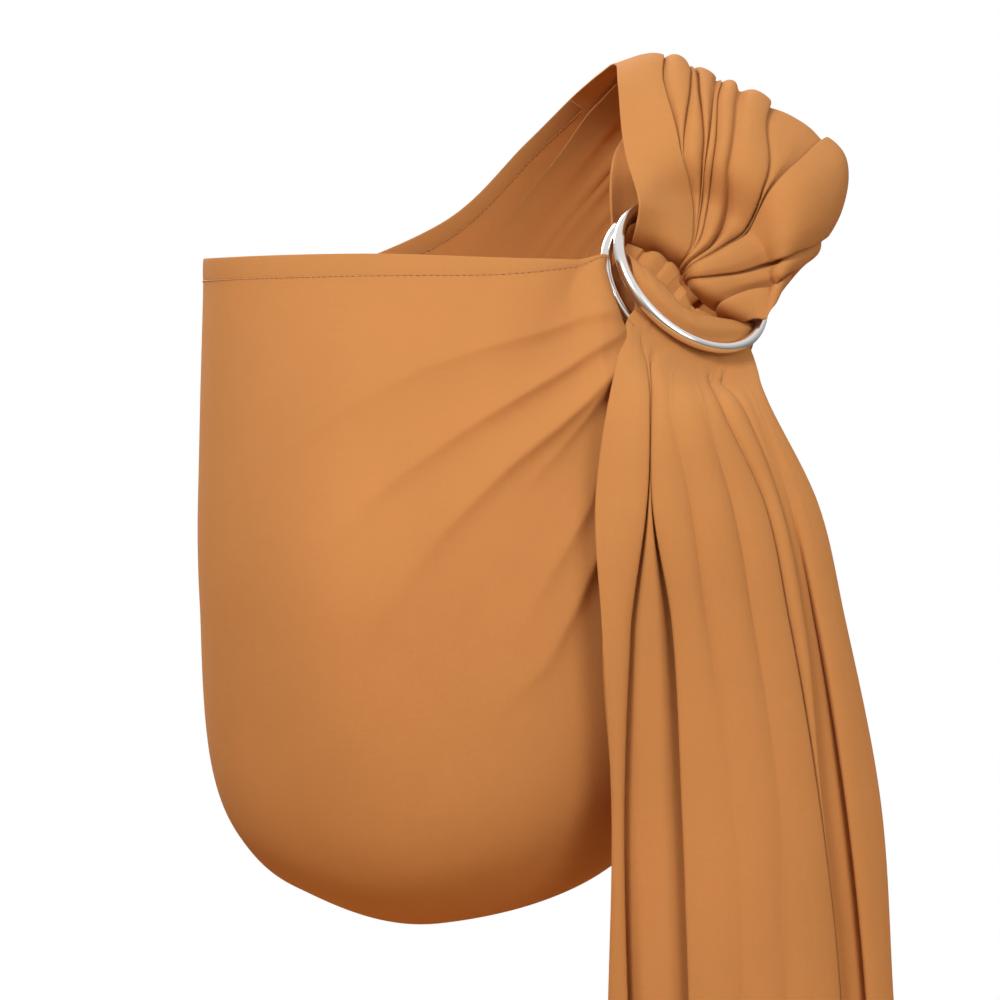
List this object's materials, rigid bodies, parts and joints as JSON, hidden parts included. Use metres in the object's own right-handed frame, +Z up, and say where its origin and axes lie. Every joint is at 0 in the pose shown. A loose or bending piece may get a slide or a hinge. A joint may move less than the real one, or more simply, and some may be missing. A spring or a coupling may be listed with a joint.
{
  "type": "ring sling baby carrier",
  "caption": "Cloth baby carrier worn over the shoulder, gathered through metal rings in front, with a pouch and a hanging tail.",
  "frame": {"origin": "where the middle of the cloth rests on the wearer's shoulder, as worn and upright", "axes": "+Z up, -Y the way the wearer faces, +X towards the shoulder that carries the cloth"},
  "size_m": [0.351, 0.3061, 0.885],
  "materials": {
    "cloth": "matt plain-woven ochre cotton, garment washed",
    "thread": "matt sewing thread close to the cloth's colour",
    "ring_metal": "polished",
    "label": "satin-woven, blank"
  },
  "bodies": {
    "root": {"sewn_end": "cloth", "ring_channel": "cloth", "shoulder_fan": "cloth", "back_panel": "cloth", "side_wrap": "cloth", "pouch_panel": "cloth", "pouch_seat": "cloth", "ring_lead_in": "cloth", "ring_roll": "cloth", "upper_rail_hem": "cloth", "lower_rail_hem": "cloth", "rail_stitching": "thread", "channel_stitching": "thread", "rear_ring": "ring_metal"},
    "front_ring": {"front_ring": "ring_metal"},
    "tail": {"tail_panel": "cloth", "tail_left_hem": "cloth", "tail_right_hem": "cloth", "tail_end_hem": "cloth", "tail_stitching": "thread", "care_label": "label"}
  },
  "joints": [
    {"name": "front_ring_tilt", "type": "hinge", "parent": "root", "child": "front_ring", "pos_m": [-0.0048, -0.0522, -0.0718], "axis": [-0.7071, 0, 0.7071], "range_deg": [0, 6]},
    {"name": "tail_lift", "type": "hinge", "parent": "root", "child": "tail", "pos_m": [-0.028, -0.118, -0.138], "axis": [-1, 0, 0], "range_deg": [0, 30]}
  ]
}
